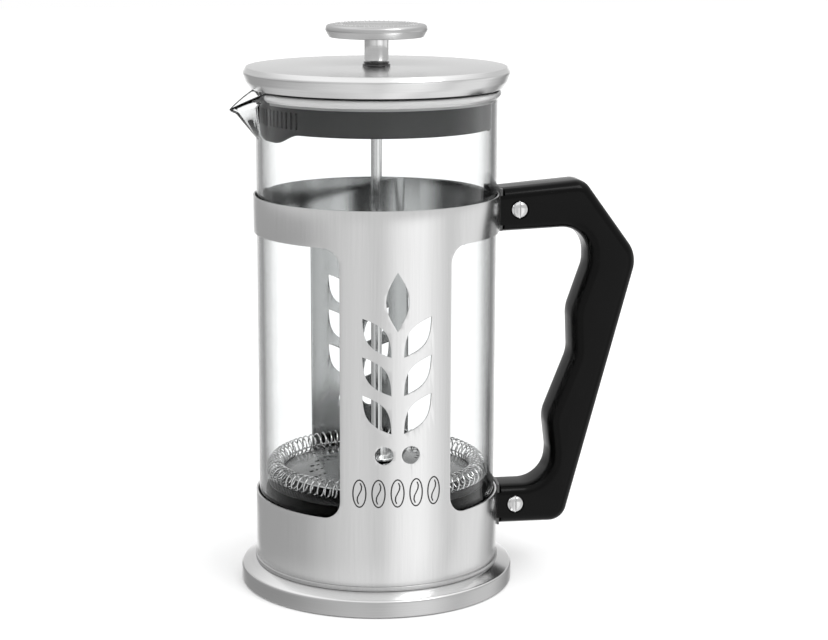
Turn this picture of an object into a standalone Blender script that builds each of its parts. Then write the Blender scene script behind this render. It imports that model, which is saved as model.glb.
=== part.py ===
"""A one-litre french press: glass beaker in a steel frame, plunger and filter.

The base stands on the ground at z = 0 and its centre is the origin. The handle points along +X,
the spout along -X, and the two panels of the frame face -Y and +Y. Profiles and outlines are
given in millimetres and turned to metres where the meshes are made.
"""

import math

import bmesh
import bpy
from mathutils import Matrix

MM = 0.001
GAP = 0.3                     # clearance between pieces that rest on each other

# Facets around the axis, for wide, middling and slim pieces
WIDE_FACETS = 48
MIDDLE_FACETS = 32
SLIM_FACETS = 16

# Frame
SLEEVE_R = 48.9
SHEET = 0.7
SLEEVE_BOTTOM = 10.9
SLEEVE_TOP = 158.3
WINDOW_BOTTOM = 37.6
WINDOW_TOP = 143.7
WINDOW_CORNER = 7.0
PANEL_HALF_DEG = 26.3
SEAM_DEG = 67.5               # where the rolled sheet closes, beside the back panel's middle
FOOT_R = 55.1

# Beaker
GLASS_R = 47.7
GLASS_WALL = 2.2
GLASS_BOTTOM = 12.7
GLASS_FLOOR = 2.6
GLASS_CORNER = 8.0
RIM_R = 49.16
RIM_TOP = 199.6
SPOUT_BOTTOM = 181.0
SPOUT_REACH = 9.4
SPOUT_DROOP = 6.8
SPOUT_HALF_DEG = 17.0

# Lid
LID_R = 52.5
LID_TOP = 208.6
SKIRT_BOTTOM = 200.4
INSERT_R = 45.0
INSERT_WALL = 1.6
INSERT_BOTTOM = 185.1
COMB_SLOTS = 24
COMB_PITCH_DEG = 3.4

# Plunger
ROD_R = 2.2
ROD_BOTTOM = 37.2
ROD_TOP = 217.2
KNOB_R = 19.9
KNOB_TOP = 225.0
STEM_R = 4.77
COLLAR_TOP = 210.3

# Filter pack
RUNNING_BORE_R = 2.35
COIL_R = 40.7
COIL_TURN_R = 4.05
COIL_Z = 47.0
COIL_WIRE_R = 0.35
COIL_TURNS = 48
POINTS_PER_TURN = 6
PLATE_R = 36.0

# Handle
HANDLE_THICK = 18.0
HANDLE_EDGE = 4.5
ROOT_R = 50.5
UPPER_SCREW = (56.4, 151.4)
LOWER_SCREW = (56.2, 29.6)
SCREW_HOLE_R = 2.6
HEAD_R = 3.5

# Brackets
BRACKET_HALF_DEG = 9.8
BRACKET_HEIGHT = 16.8
TONGUE_TIP = 62.0
TONGUE_THICK = 2.2
TONGUE_HEIGHT = 12.0

STEEL = ("steel", (0.62, 0.61, 0.60), 0.28, 1.0)
SATIN = ("satin_steel", (0.66, 0.66, 0.66), 0.38, 1.0)
BRIGHT = ("bright_steel", (0.75, 0.75, 0.75), 0.12, 1.0)
BLACK = ("black_plastic", (0.012, 0.012, 0.013), 0.22, 0.0)
NYLON = ("dark_nylon", (0.05, 0.05, 0.05), 0.45, 0.0)
RUBBER = ("rubber", (0.02, 0.02, 0.02), 0.8, 0.0)
GLASS = ("clear_glass", (0.9, 0.95, 0.95), 0.02, 0.0)


def clear_scene():
    """Remove what the file opened with."""
    for obj in list(bpy.data.objects):
        bpy.data.objects.remove(obj, do_unlink=True)


def make_collection(name):
    """Add a collection to the scene."""
    collection = bpy.data.collections.new(name)
    bpy.context.scene.collection.children.link(collection)
    return collection


def finish_for(name, finish):
    """Make a sub-part's own material from a (label, colour, roughness, metallic) finish."""
    label, colour, roughness, metallic = finish
    material = bpy.data.materials.new(f"{name}_{label}")
    material.use_nodes = True
    shader = material.node_tree.nodes["Principled BSDF"]
    shader.inputs["Base Color"].default_value = (*colour, 1.0)
    shader.inputs["Roughness"].default_value = roughness
    shader.inputs["Metallic"].default_value = metallic
    if label == "clear_glass":
        shader.inputs["Transmission Weight"].default_value = 1.0
    return material


def add_part(name, mesh, finish):
    """Link a mesh as a named sub-part."""
    obj = bpy.data.objects.new(name, mesh)
    parts.objects.link(obj)
    mesh.materials.clear()
    mesh.materials.append(finish_for(name, finish))
    return obj


def add_cutter(name, mesh):
    """Link a mesh as a cutter, which is drawn as a wire and never rendered."""
    obj = bpy.data.objects.new(name, mesh)
    cutters.objects.link(obj)
    obj.hide_render = True
    obj.display_type = "WIRE"
    return obj


def evaluated_mesh(obj):
    """Return an object's mesh as its modifiers leave it."""
    bpy.context.view_layer.update()
    depsgraph = bpy.context.evaluated_depsgraph_get()
    return bpy.data.meshes.new_from_object(obj.evaluated_get(depsgraph))


def smooth(mesh, sharp_deg=35.0):
    """Shade a mesh smooth, with its corners kept sharp."""
    mesh.shade_smooth()
    mesh.set_sharp_from_angle(angle=math.radians(sharp_deg))


def turned_mesh(name, profile, facets):
    """Turn a (radius, height) profile about Z; it runs down the outer side."""
    mesh = bpy.data.meshes.new(name)
    closed = min(radius for radius, height in profile) > 0.0
    edges = [(i, i + 1) for i in range(len(profile) - 1)]
    if closed:
        edges.append((len(profile) - 1, 0))
    mesh.from_pydata([(radius * MM, 0.0, height * MM) for radius, height in profile], edges, [])
    guide = bpy.data.objects.new(name + "_profile", mesh)
    cutters.objects.link(guide)
    screw = guide.modifiers.new("Screw", "SCREW")
    screw.steps = facets
    screw.render_steps = facets
    screw.use_merge_vertices = True
    screw.merge_threshold = 0.00001
    result = evaluated_mesh(guide)
    bpy.data.objects.remove(guide, do_unlink=True)
    result.name = name
    smooth(result)
    return result


def turned(name, profile, finish, facets=WIDE_FACETS):
    """Add a sub-part turned about Z."""
    return add_part(name, turned_mesh(name, profile, facets), finish)


def arc(centre, radius, start_deg, end_deg, steps):
    """Points along an arc, both ends included."""
    points = []
    for i in range(steps + 1):
        angle = math.radians(start_deg + (end_deg - start_deg) * i / steps)
        points.append((centre[0] + radius * math.cos(angle), centre[1] + radius * math.sin(angle)))
    return points


def rounded(corners, steps=4):
    """Outline through (x, y, fillet radius) corners, with each fillet as an arc."""
    outline = []
    for i, (x, y, fillet) in enumerate(corners):
        if fillet <= 0.0:
            outline.append((x, y))
            continue
        before = corners[i - 1]
        after = corners[(i + 1) % len(corners)]
        to_before = math.atan2(before[1] - y, before[0] - x)
        to_after = math.atan2(after[1] - y, after[0] - x)
        opening = (to_after - to_before + math.pi) % (2.0 * math.pi) - math.pi
        half = abs(opening) / 2.0
        middle = to_before + opening / 2.0
        centre = (x + fillet / math.sin(half) * math.cos(middle),
                  y + fillet / math.sin(half) * math.sin(middle))
        sweep = math.copysign(math.pi - 2.0 * half, -opening)
        start = middle + math.pi - sweep / 2.0
        outline += arc(centre, fillet, math.degrees(start), math.degrees(start + sweep), steps)
    return outline


def circle(centre, radius, steps):
    """Points of a closed circle."""
    return arc(centre, radius, 0.0, 360.0, steps)[:-1]


def leaf(base, lean_deg, length, width, steps=4):
    """Outline of a pointed leaf that grows from its base, leaning from upright."""
    lean = math.radians(lean_deg)
    along = (math.sin(lean), math.cos(lean))
    across = (along[1], -along[0])
    outline = []
    for side in (1.0, -1.0):
        for i in range(steps):
            t = i / steps if side > 0 else 1.0 - i / steps
            out = side * width / 2.0 * math.sin(math.pi * t)
            outline.append((base[0] + along[0] * length * t + across[0] * out,
                            base[1] + along[1] * length * t + across[1] * out))
    return outline


def flat_mesh(name, outlines, thickness, edge=0.0):
    """Fill closed outlines in XY, holes left open, to a plate centred on z = 0."""
    curve = bpy.data.curves.new(name, "CURVE")
    curve.dimensions = "2D"
    curve.fill_mode = "BOTH"
    curve.extrude = (thickness / 2.0 - edge) * MM
    curve.bevel_depth = edge * MM
    curve.bevel_resolution = 1
    curve.offset = -edge * MM
    for outline in outlines:
        spline = curve.splines.new("POLY")
        spline.points.add(len(outline) - 1)
        for point, (x, y) in zip(spline.points, outline):
            point.co = (x * MM, y * MM, 0.0, 1.0)
        spline.use_cyclic_u = True
    guide = bpy.data.objects.new(name + "_outline", curve)
    cutters.objects.link(guide)
    mesh = evaluated_mesh(guide)
    bpy.data.objects.remove(guide, do_unlink=True)
    mesh.name = name
    bm = bmesh.new()
    bm.from_mesh(mesh)
    bmesh.ops.remove_doubles(bm, verts=bm.verts, dist=0.000001)
    bmesh.ops.recalc_face_normals(bm, faces=bm.faces)
    bm.to_mesh(mesh)
    bm.free()
    return mesh


def box_mesh(name, low, high):
    """A box between two corners, in millimetres."""
    mesh = bpy.data.meshes.new(name)
    bm = bmesh.new()
    bmesh.ops.create_cube(bm, size=1.0)
    for vert in bm.verts:
        for axis in range(3):
            middle = (low[axis] + high[axis]) / 2.0
            vert.co[axis] = (middle + vert.co[axis] * (high[axis] - low[axis])) * MM
    bm.to_mesh(mesh)
    bm.free()
    return mesh


def subtract(obj, other):
    """Cut one object's shape out of another with a live Boolean."""
    modifier = obj.modifiers.new("Difference", "BOOLEAN")
    modifier.operation = "DIFFERENCE"
    modifier.object = other


def roll(mesh, radius, start_deg, facets):
    """Roll a flat sheet of (arc length, height) about Z, in flat facets between stations."""
    step = 2.0 * math.pi / facets
    length = step * radius * MM
    bm = bmesh.new()
    bm.from_mesh(mesh)
    span = max(vert.co.x for vert in bm.verts)
    station = 1
    while station * length < span - 0.000001:
        everything = bm.verts[:] + bm.edges[:] + bm.faces[:]
        bmesh.ops.bisect_plane(bm, geom=everything, dist=0.0000005,
                               plane_co=(station * length, 0.0, 0.0), plane_no=(1.0, 0.0, 0.0))
        station += 1
    full_turn = abs(span - facets * length) < 0.000001
    if full_turn:
        ends = [face for face in bm.faces if abs(face.normal.x) > 0.9
                and min(abs(face.calc_center_median().x - x) for x in (0.0, span)) < 0.000001]
        bmesh.ops.delete(bm, geom=ends, context="FACES")
    for vert in bm.verts:
        turns = vert.co.x / length
        whole = math.floor(turns + 0.000001)
        part = turns - whole
        r = radius * MM + vert.co.z
        first = math.radians(start_deg) + whole * step
        second = first + step
        x = r * ((1.0 - part) * math.cos(first) + part * math.cos(second))
        y = r * ((1.0 - part) * math.sin(first) + part * math.sin(second))
        vert.co = (x, y, vert.co.y)
    if full_turn:
        bmesh.ops.remove_doubles(bm, verts=bm.verts, dist=0.000001)
    bmesh.ops.dissolve_limit(bm, angle_limit=math.radians(1.0), verts=bm.verts, edges=bm.edges)
    bm.to_mesh(mesh)
    bm.free()
    smooth(mesh, 20.0)
    return mesh


def sprig(middle):
    """Outlines of the cut-out in a panel: a sprig of leaves over two berries."""
    outlines = [leaf((middle, 112.0), 0.0, 23.0, 9.0)]
    for height in (72.0, 87.0, 102.0):
        for side in (-1.0, 1.0):
            outlines.append(leaf((middle + side * 2.4, height), side * 36.0, 19.0, 8.0))
    for side in (-1.0, 1.0):
        outlines.append(circle((middle + side * 5.2, 63.5), 3.6, 10))
    return outlines


def frame_sleeve():
    """Rolled sheet: two bands joined by two panels, with a window on either side."""
    radius = SLEEVE_R - SHEET / 2.0
    per_deg = radius * math.radians(1.0)

    def window(middle_deg):
        half = (90.0 - PANEL_HALF_DEG) * per_deg
        middle = (middle_deg - SEAM_DEG) * per_deg
        return rounded([(middle - half, WINDOW_BOTTOM, WINDOW_CORNER),
                        (middle + half, WINDOW_BOTTOM, WINDOW_CORNER),
                        (middle + half, WINDOW_TOP, WINDOW_CORNER),
                        (middle - half, WINDOW_TOP, WINDOW_CORNER)])

    span = 360.0 * per_deg
    outlines = [[(0.0, SLEEVE_BOTTOM), (span, SLEEVE_BOTTOM), (span, SLEEVE_TOP), (0.0, SLEEVE_TOP)]]
    outlines += [window(180.0), window(360.0)]
    outlines += sprig((90.0 - SEAM_DEG) * per_deg)
    outlines += sprig((270.0 - SEAM_DEG) * per_deg)
    sheet = flat_mesh("frame_sleeve", outlines, SHEET)
    return add_part("frame_sleeve", roll(sheet, radius, SEAM_DEG, WIDE_FACETS), STEEL)


def base():
    """Pan under the sleeve, pressed foot and non-slip pad."""
    turned("base_pan", [(0.0, 10.6), (49.5, 10.6), (49.5, 9.4), (0.0, 9.4)], STEEL)
    shoulder = arc((FOOT_R - 1.6, 5.8), 1.6, 65.0, 0.0, 2)
    turned("base_ring", [(44.0, 9.1), (49.0, 9.1)] + shoulder
           + [(FOOT_R, 0.4), (53.9, 0.4), (53.9, 5.6), (53.0, 6.3), (48.8, 7.9), (44.0, 7.9)],
           SATIN)
    turned("base_pad", [(0.0, 2.2), (53.4, 2.2), (53.4, 0.4), (53.0, 0.0), (0.0, 0.0)], RUBBER)


def beaker_seat():
    """Nylon cup that follows the rounded foot of the glass."""
    centre = (GLASS_R - GLASS_CORNER, GLASS_BOTTOM + GLASS_CORNER)
    hollow = arc(centre, GLASS_CORNER + GAP, -90.0, -20.0, 3)
    outer = SLEEVE_R - SHEET - 0.2
    floor = SLEEVE_BOTTOM
    turned("beaker_seat", [(0.0, GLASS_BOTTOM - GAP)] + hollow
           + [(outer, hollow[-1][1]), (outer, floor), (0.0, floor)], NYLON)


def beaker():
    """Glass cylinder with a beaded rim, its lip drawn out to a spout on the -X side."""
    inner_r = GLASS_R - GLASS_WALL
    floor = GLASS_BOTTOM + GLASS_FLOOR
    inner_corner = GLASS_CORNER - GLASS_WALL
    rows = [SPOUT_BOTTOM, 187.0, 193.0]
    profile = [(0.0, floor)]
    profile += arc((inner_r - inner_corner, floor + inner_corner), inner_corner, -90.0, 0.0, 3)
    profile += [(inner_r, height) for height in rows]
    profile += [(inner_r, 197.0), (inner_r + 0.3, 198.9), (inner_r + 1.2, RIM_TOP),
                (RIM_R - 0.9, RIM_TOP), (RIM_R, 198.6), (RIM_R, 197.9), (RIM_R - 0.6, 197.1),
                (GLASS_R, 196.2)]
    profile += [(GLASS_R, height) for height in reversed(rows)]
    profile += arc((GLASS_R - GLASS_CORNER, GLASS_BOTTOM + GLASS_CORNER), GLASS_CORNER,
                   0.0, -90.0, 3)
    profile += [(0.0, GLASS_BOTTOM)]
    mesh = turned_mesh("beaker", profile, WIDE_FACETS)
    draw_spout(mesh)
    return add_part("beaker", mesh, GLASS)


def draw_spout(mesh):
    """Pull the wall outwards and the lip outwards and down, most at the spout's middle."""
    for vert in mesh.vertices:
        rise = (vert.co.z / MM - SPOUT_BOTTOM) / (RIM_TOP - SPOUT_BOTTOM)
        off = abs(math.degrees(math.atan2(vert.co.y, -vert.co.x))) / SPOUT_HALF_DEG
        if rise <= 0.0 or off >= 1.0 or vert.co.xy.length < 40.0 * MM:
            continue
        pull = rise * (1.0 - off) ** 1.15
        radius = vert.co.xy.length
        vert.co.xy *= (radius + SPOUT_REACH * MM * pull) / radius
        vert.co.z -= SPOUT_DROOP * MM * pull


def lid():
    """Spun shell, the plate under it and the strainer ring that reaches into the glass."""
    turned("lid_shell", [(3.7, LID_TOP), (49.6, LID_TOP), (51.6, 207.9), (LID_R, 206.2),
                         (51.5, 203.2), (49.7, SKIRT_BOTTOM), (48.9, SKIRT_BOTTOM), (50.7, 203.4),
                         (51.6, 206.2), (51.0, 207.2), (49.5, 207.7), (3.7, 207.7)], SATIN)
    turned("lid_plate", [(3.7, 203.2), (48.3, 203.2), (48.3, 202.2), (3.7, 202.2)], STEEL)
    strainer_insert()


def strainer_insert():
    """Moulded ring with a comb of slots and a deeper lobe at the spout."""
    inner_r = INSERT_R - INSERT_WALL
    flange = 200.4
    mesh = turned_mesh("strainer_insert", [
        (inner_r, 201.9), (48.2, 201.9), (48.2, flange), (INSERT_R, flange),
        (INSERT_R, INSERT_BOTTOM), (inner_r, INSERT_BOTTOM)], WIDE_FACETS)
    for vert in mesh.vertices:
        if vert.co.z > 190.0 * MM:
            continue
        from_spout = abs(math.degrees(math.atan2(vert.co.y, -vert.co.x)))
        from_handle = 180.0 - from_spout
        vert.co.z -= MM * (4.0 * fade(from_spout, 22.0, 40.0) + 1.8 * fade(from_handle, 14.0, 22.0))
    insert = add_part("strainer_insert", mesh, NYLON)
    subtract(insert, comb_cutter())


def fade(value, start, end):
    """Fall smoothly from one at start to zero at end."""
    t = min(max((end - value) / (end - start), 0.0), 1.0)
    return t * t * (3.0 - 2.0 * t)


def comb_cutter():
    """Upright slots side by side, centred on the spout."""
    bm = bmesh.new()
    for i in range(COMB_SLOTS):
        slot = bmesh.ops.create_cube(bm, size=1.0)["verts"]
        bmesh.ops.scale(bm, verts=slot, vec=(5.0 * MM, 1.1 * MM, 6.4 * MM))
        bmesh.ops.translate(bm, verts=slot, vec=(-(INSERT_R - 0.8) * MM, 0.0, 190.4 * MM))
        turn = math.radians((i - (COMB_SLOTS - 1) / 2.0) * COMB_PITCH_DEG)
        bmesh.ops.rotate(bm, verts=slot, cent=(0.0, 0.0, 0.0), matrix=Matrix.Rotation(turn, 3, "Z"))
    mesh = bpy.data.meshes.new("comb_cutter")
    bm.to_mesh(mesh)
    bm.free()
    return add_cutter("comb_cutter", mesh)


def bush():
    """Collar and sleeve that guide the rod, held by a nut under the lid."""
    turned("guide_bush", [(RUNNING_BORE_R, COLLAR_TOP), (4.9, COLLAR_TOP), (5.3, COLLAR_TOP - 0.4),
                          (5.3, LID_TOP + GAP), (3.4, LID_TOP + GAP), (3.4, 198.6),
                          (RUNNING_BORE_R, 198.6)], NYLON, SLIM_FACETS)
    hexagon = circle((0.0, 0.0), 6.6, 6)
    nut = add_part("bush_nut", flat_mesh("bush_nut", [hexagon, circle((0.0, 0.0), 3.75, 24)], 2.0),
                   STEEL)
    nut.location.z = 200.9 * MM


def plunger():
    """Knob, stem and rod."""
    turned("knob_cap", [(0.0, 224.5), (12.6, 224.4), (13.4, 224.8), (17.6, KNOB_TOP),
                        (19.2, 224.5), (KNOB_R, 223.3), (19.5, 221.6), (18.3, 220.4),
                        (17.8, 220.4), (17.8, 221.8), (3.3, 221.8), (3.3, 223.3), (0.0, 223.3)],
           SATIN, MIDDLE_FACETS)
    turned("knob_base", [(3.3, 221.5), (17.5, 221.5), (17.5, 220.5), (3.3, 220.5)], BRIGHT,
           MIDDLE_FACETS)
    turned("knob_stem", [(0.0, 222.9), (3.0, 222.9), (3.0, 220.2), (STEM_R, 220.2),
                         (STEM_R, 211.0), (4.4, COLLAR_TOP + GAP), (2.5, COLLAR_TOP + GAP),
                         (2.5, 217.5), (0.0, 217.5)], BRIGHT, SLIM_FACETS)
    turned("plunger_rod", [(0.0, ROD_TOP), (ROD_R - 0.3, ROD_TOP), (ROD_R, ROD_TOP - 0.3),
                           (ROD_R, ROD_BOTTOM + 0.3), (ROD_R - 0.3, ROD_BOTTOM),
                           (0.0, ROD_BOTTOM)], BRIGHT, SLIM_FACETS)


def filter_pack():
    """Hub, domed plate, edge spring, mesh, lower plate and the nut at the rod's end."""
    bore = 3.2
    turned("hub_nut", [(RUNNING_BORE_R, 56.0), (4.6, 56.0), (5.0, 55.6), (5.0, 51.4), (8.4, 51.2),
                       (8.6, 50.9), (8.6, 50.0), (RUNNING_BORE_R, 50.0)], BRIGHT, SLIM_FACETS)
    top = [(bore, 49.6), (10.0, 49.6), (33.5, 46.2), (PLATE_R, 45.9)]
    plate = turned("spiral_plate", top + [(r, z - 0.7) for r, z in reversed(top)], BRIGHT,
                   MIDDLE_FACETS)
    subtract(plate, hole_cutter("plate_holes", plate_holes(), 44.0, 51.0, 6))
    edge_spring()
    turned("filter_spacer", [(RUNNING_BORE_R, 48.6), (5.6, 48.6), (5.6, 42.4),
                             (RUNNING_BORE_R, 42.4)], STEEL, SLIM_FACETS)
    turned("mesh_screen", [(bore, 42.1), (43.8, 42.1), (43.8, 41.6), (bore, 41.6)], STEEL,
           MIDDLE_FACETS)
    cross = turned("cross_plate", [(bore, 41.3), (41.0, 41.3), (41.0, 40.3), (bore, 40.3)],
                   BRIGHT, MIDDLE_FACETS)
    openings = [(24.5 * math.cos(math.radians(60.0 * i)), 24.5 * math.sin(math.radians(60.0 * i)),
                 9.0) for i in range(6)]
    subtract(cross, hole_cutter("cross_openings", openings, 39.0, 43.0, 12))
    turned("filter_nut", [(0.0, 36.8), (RUNNING_BORE_R, 36.8), (RUNNING_BORE_R, 40.0),
                          (6.5, 40.0), (6.5, 37.0), (5.6, 36.0), (0.0, 36.0)], STEEL, SLIM_FACETS)


def plate_holes():
    """Holes of the spiral plate, in radial groups of three that wind outwards."""
    holes = []
    for group in range(10):
        angle = math.radians(36.0 * group)
        nearest = 15.0 if group % 2 else 24.5
        for i in range(3):
            r = nearest + 3.2 * i
            holes.append((r * math.cos(angle), r * math.sin(angle), 0.7 + 0.15 * i))
    return holes


def hole_cutter(name, holes, low, high, sides):
    """One cutter of upright cylinders, from (x, y, radius) holes."""
    bm = bmesh.new()
    for x, y, radius in holes:
        drill = bmesh.ops.create_cone(bm, cap_ends=True, segments=sides, radius1=radius * MM,
                                      radius2=radius * MM, depth=(high - low) * MM)["verts"]
        bmesh.ops.translate(bm, verts=drill, vec=(x * MM, y * MM, (low + high) / 2.0 * MM))
    mesh = bpy.data.meshes.new(name)
    bm.to_mesh(mesh)
    bm.free()
    return add_cutter(name, mesh)


def edge_spring():
    """Long coil spring laid round the plate's edge, its ends joined."""
    curve = bpy.data.curves.new("edge_spring", "CURVE")
    curve.dimensions = "3D"
    curve.bevel_depth = COIL_WIRE_R * MM
    curve.bevel_resolution = 0
    count = COIL_TURNS * POINTS_PER_TURN
    spline = curve.splines.new("POLY")
    spline.points.add(count - 1)
    for i, point in enumerate(spline.points):
        around = 2.0 * math.pi * i / count
        turn = around * COIL_TURNS
        r = (COIL_R + COIL_TURN_R * math.cos(turn)) * MM
        z = (COIL_Z + COIL_TURN_R * math.sin(turn)) * MM
        point.co = (r * math.cos(around), r * math.sin(around), z, 1.0)
    spline.use_cyclic_u = True
    guide = bpy.data.objects.new("edge_spring_path", curve)
    cutters.objects.link(guide)
    mesh = evaluated_mesh(guide)
    bpy.data.objects.remove(guide, do_unlink=True)
    smooth(mesh)
    return add_part("edge_spring", mesh, BRIGHT)


def stand_on_side(obj, place, turn_deg):
    """Lay a piece turned about Z along Y, at a handle screw."""
    obj.rotation_euler.x = math.radians(turn_deg)
    obj.location = (place[0] * MM, 0.0, place[1] * MM)


def handle():
    """Moulded handle, slotted at both roots for the brackets and drilled for the screws."""
    outline = rounded([
        (44.0, 159.5, 0.0), (83.4, 162.7, 7.0), (106.3, 131.3, 13.0), (76.9, 20.9, 7.5),
        (44.0, 21.2, 0.0), (44.0, 37.5, 0.0), (70.6, 37.4, 11.5), (71.2, 51.0, 10.0),
        (69.5, 65.0, 14.0), (79.8, 91.0, 14.0), (79.0, 109.0, 16.0), (85.6, 128.0, 12.0),
        (85.4, 143.8, 11.0), (44.0, 142.2, 0.0)], 4)
    grip = add_part("handle", flat_mesh("handle", [outline], HANDLE_THICK, HANDLE_EDGE), BLACK)
    grip.rotation_euler.x = math.radians(90.0)
    smooth(grip.data)
    drum = turned_mesh("root_clearance", [(0.0, 180.0), (ROOT_R, 180.0), (ROOT_R, 5.0),
                                          (0.0, 5.0)], WIDE_FACETS)
    subtract(grip, add_cutter("root_clearance", drum))
    for name, (x, z) in (("upper", UPPER_SCREW), ("lower", LOWER_SCREW)):
        slot = box_mesh(f"{name}_slot", (45.0, -TONGUE_THICK / 2.0 - GAP, z - TONGUE_HEIGHT / 2.0 - GAP),
                        (TONGUE_TIP + GAP, TONGUE_THICK / 2.0 + GAP, z + TONGUE_HEIGHT / 2.0 + GAP))
        subtract(grip, add_cutter(f"{name}_slot", slot))
        half = HANDLE_THICK / 2.0
        sink = half - 1.3
        drill = turned_mesh(f"{name}_drill", [
            (0.0, half + 3.0), (HEAD_R + 0.3, half + 3.0), (HEAD_R + 0.3, sink),
            (SCREW_HOLE_R, sink), (SCREW_HOLE_R, -sink), (HEAD_R + 0.3, -sink),
            (HEAD_R + 0.3, -half - 3.0), (0.0, -half - 3.0)], SLIM_FACETS)
        drill_cutter = add_cutter(f"{name}_drill", drill)
        stand_on_side(drill_cutter, (x, z), 90.0)
        subtract(grip, drill_cutter)


def bracket(name, screw):
    """Curved plate on the sleeve with a tongue that the screw passes through."""
    x, z = screw
    inner = SLEEVE_R + GAP
    outer = inner + 1.0
    half = TONGUE_THICK / 2.0
    root_deg = math.degrees(math.asin(half / outer))
    outline = arc((0.0, 0.0), outer, -BRACKET_HALF_DEG, -root_deg, 2)
    outline += [(TONGUE_TIP, -half), (TONGUE_TIP, half)]
    outline += arc((0.0, 0.0), outer, root_deg, BRACKET_HALF_DEG, 2)
    outline += arc((0.0, 0.0), inner, BRACKET_HALF_DEG, -BRACKET_HALF_DEG, 4)
    obj = add_part(name, flat_mesh(name, [outline], BRACKET_HEIGHT), STEEL)
    obj.location.z = z * MM
    for side, word in ((1.0, "above"), (-1.0, "below")):
        heights = sorted((z + side * TONGUE_HEIGHT / 2.0, z + side * BRACKET_HEIGHT))
        trim = box_mesh(f"{name}_{word}", (outer + 0.2, -4.0, heights[0]),
                        (TONGUE_TIP + 4.0, 4.0, heights[1]))
        subtract(obj, add_cutter(f"{name}_{word}", trim))
    drill = add_cutter(f"{name}_drill", turned_mesh(f"{name}_drill", [
        (0.0, 4.0), (SCREW_HOLE_R, 4.0), (SCREW_HOLE_R, -4.0), (0.0, -4.0)], SLIM_FACETS))
    stand_on_side(drill, (x, z), 90.0)
    subtract(obj, drill)


def handle_screw(name, screw):
    """Slotted round-head screw, put in from the front."""
    head = HANDLE_THICK / 2.0
    obj = turned(name, [(0.0, head + 1.0), (1.8, head + 0.8), (3.0, head + 0.3), (HEAD_R, head - 0.4),
                        (HEAD_R, head - 1.0), (1.7, head - 1.0), (1.7, -5.0), (0.0, -5.0)],
                 BRIGHT, SLIM_FACETS)
    stand_on_side(obj, screw, 90.0)
    slot = add_cutter(f"{name}_slot", box_mesh(f"{name}_slot", (-0.55, -4.5, head),
                                               (0.55, 4.5, head + 2.0)))
    stand_on_side(slot, screw, 90.0)
    subtract(obj, slot)


def barrel_nut(name, screw):
    """Round nut with a threaded barrel, put in from the back."""
    head = HANDLE_THICK / 2.0
    obj = turned(name, [(0.0, head + 0.9), (2.6, head + 0.6), (HEAD_R, head - 0.2),
                        (HEAD_R, head - 1.0), (2.3, head - 1.0), (2.3, 1.6), (2.0, 1.6),
                        (2.0, head - 2.0), (0.0, head - 2.0)], BRIGHT, SLIM_FACETS)
    stand_on_side(obj, screw, -90.0)


clear_scene()
parts = make_collection("french_press")
cutters = make_collection("cutters")
frame_sleeve()
base()
beaker_seat()
beaker()
lid()
bush()
plunger()
filter_pack()
handle()
for position, place in (("upper", UPPER_SCREW), ("lower", LOWER_SCREW)):
    bracket(f"{position}_bracket", place)
    handle_screw(f"{position}_handle_screw", place)
    barrel_nut(f"{position}_barrel_nut", place)
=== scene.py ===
"""Looks of a one-litre french press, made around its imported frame.

Each sub-assembly is a class that holds its sizes in millimetres and builds its own fine meshes,
and each finish is a small frozen dataclass that makes one procedural material. The foot stands on
z = 0, the handle points along +X, the spout along -X and the two panels face -Y and +Y.
"""

import logging
import math
from dataclasses import dataclass
from enum import Enum
from typing import Callable, Iterable, Sequence

import bpy
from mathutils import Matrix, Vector


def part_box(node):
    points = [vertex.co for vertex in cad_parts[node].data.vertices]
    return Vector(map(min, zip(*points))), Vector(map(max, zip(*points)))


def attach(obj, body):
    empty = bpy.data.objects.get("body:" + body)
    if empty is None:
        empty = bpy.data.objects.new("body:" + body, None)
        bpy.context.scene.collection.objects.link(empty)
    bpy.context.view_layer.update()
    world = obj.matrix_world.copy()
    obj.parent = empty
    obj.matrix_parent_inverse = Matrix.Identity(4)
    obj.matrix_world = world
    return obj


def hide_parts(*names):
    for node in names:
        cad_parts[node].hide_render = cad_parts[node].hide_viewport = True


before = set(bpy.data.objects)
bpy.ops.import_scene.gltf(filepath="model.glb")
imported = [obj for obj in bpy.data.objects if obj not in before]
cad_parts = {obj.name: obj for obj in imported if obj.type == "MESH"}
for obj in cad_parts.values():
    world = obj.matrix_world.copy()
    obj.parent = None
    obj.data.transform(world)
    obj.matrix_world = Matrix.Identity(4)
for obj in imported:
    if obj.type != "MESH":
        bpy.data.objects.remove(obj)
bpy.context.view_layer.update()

log = logging.getLogger("french_press")
MM = 0.001
TURN_STEPS = 160              # facets round a wide turned piece
SMALL_STEPS = 64              # and round a slim one
WELD = 0.000001               # points closer than this are one point
Point = tuple[float, float]
Corner = tuple[float, float, float]
Piece = bpy.types.Object
Face = bpy.types.MeshPolygon
Tree = bpy.types.NodeTree
Node = bpy.types.Node
Socket = bpy.types.NodeSocket


class Grain(Enum):
    """Which way the fine lines of a metal finish run."""

    UPRIGHT = "along the sheet's height"
    ROUND = "round the axis, as spun or lapped on a lathe"


# ---- Outlines ----

def arc(centre: Point, radius: float, start_deg: float, end_deg: float, steps: int) -> list[Point]:
    """Points along an arc.

    Args:
        centre: Middle of the arc.
        radius: Its radius.
        start_deg: Angle of the first point.
        end_deg: Angle of the last point.
        steps: Number of equal steps.

    Returns:
        The points, both ends included.
    """
    angles = [math.radians(start_deg + (end_deg - start_deg) * i / steps) for i in range(steps + 1)]
    return [(centre[0] + radius * math.cos(a), centre[1] + radius * math.sin(a)) for a in angles]


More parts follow.
